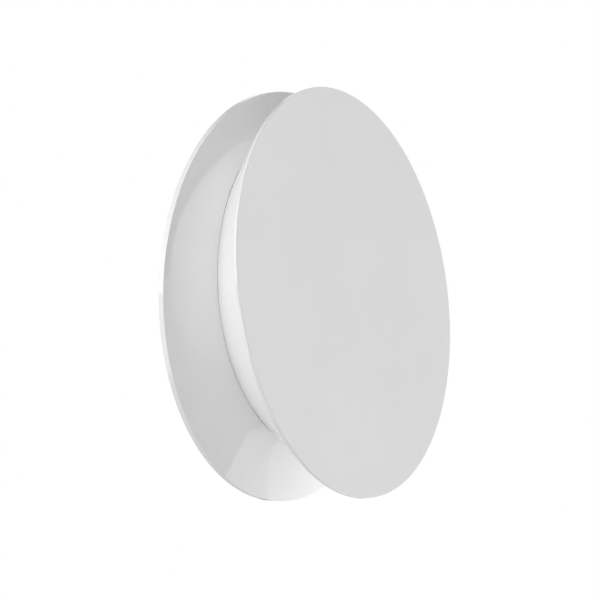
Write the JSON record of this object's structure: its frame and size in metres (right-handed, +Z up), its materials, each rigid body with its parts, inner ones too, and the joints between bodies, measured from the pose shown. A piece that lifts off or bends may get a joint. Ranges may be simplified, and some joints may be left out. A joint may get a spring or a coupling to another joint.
{
  "type": "fire sprinkler head",
  "caption": "Concealed horizontal sidewall fire sprinkler head with a round cover plate, flared retainer, angled wall flange, drop-down deflector and threaded inlet.",
  "frame": {"origin": "centre of the threaded inlet's end face, on the head's axis", "axes": "+Z up, +Y along the head's axis out of the inlet, so the cover plate faces -Y; +X to the right seen from the room"},
  "size_m": [0.121, 0.0555, 0.1217],
  "materials": {
    "cover_enamel": "gloss white enamel",
    "retainer_enamel": "gloss white enamel",
    "flange_enamel": "gloss white enamel",
    "cast_brass": "cast and machined",
    "bronze": "machined",
    "nickel_brass": "nickel plated",
    "zinc_steel": "zinc plated",
    "spring_steel": "phosphate black",
    "pin_steel": "ground stainless",
    "spring_bronze": "rolled",
    "coated_nickel": "film coated",
    "solder": "dull cast",
    "seal_film": "slippery film",
    "foam_rubber": "closed cell foam",
    "bulb_glass": "clear",
    "bulb_liquid": "red liquid"
  },
  "bodies": {
    "head": {"sprinkler_body": "cast_brass", "support_cup": "zinc_steel", "cup_lock_ring": "spring_steel", "flange_snap_ring": "spring_steel", "valve_cap": "bronze", "seal_film": "seal_film", "disc_spring": "coated_nickel", "glass_bulb": "bulb_glass", "bulb_liquid": "bulb_liquid", "load_screw": "bronze", "guide_housing": "nickel_brass"},
    "deflector_set": {"deflector": "bronze", "deflector_hub": "cast_brass", "guide_pin_left": "pin_steel", "guide_pin_right": "pin_steel"},
    "cover": {"cover_retainer": "retainer_enamel", "retainer_barrel": "zinc_steel", "ejector_spring_1": "spring_bronze", "ejector_spring_2": "spring_bronze", "ejector_spring_3": "spring_bronze", "spring_rivets": "pin_steel"},
    "plate": {"cover_plate": "cover_enamel", "solder_pad_1": "solder", "solder_pad_2": "solder", "solder_pad_3": "solder"},
    "flange": {"wall_flange": "flange_enamel", "flange_collar": "flange_enamel", "wall_gasket": "foam_rubber"}
  },
  "joints": [
    {"name": "flange_turn", "type": "hinge", "parent": "head", "child": "flange", "pos_m": [0, -0.0255, 0], "axis": [0, -1, 0], "continuous": true},
    {"name": "cover_adjust", "type": "slide", "parent": "head", "child": "cover", "axis": [0, -1, 0], "range_m": [0, 0.006]},
    {"name": "cover_release", "type": "slide", "parent": "cover", "child": "plate", "axis": [0, -1, 0], "range_m": [0, 0.044]},
    {"name": "deflector_drop", "type": "slide", "parent": "head", "child": "deflector_set", "axis": [0, -1, 0], "range_m": [0, 0.011]}
  ],
  "couplings": [
    {"joint": "deflector_drop", "follows": "cover_release", "ratio": 0.25}
  ]
}
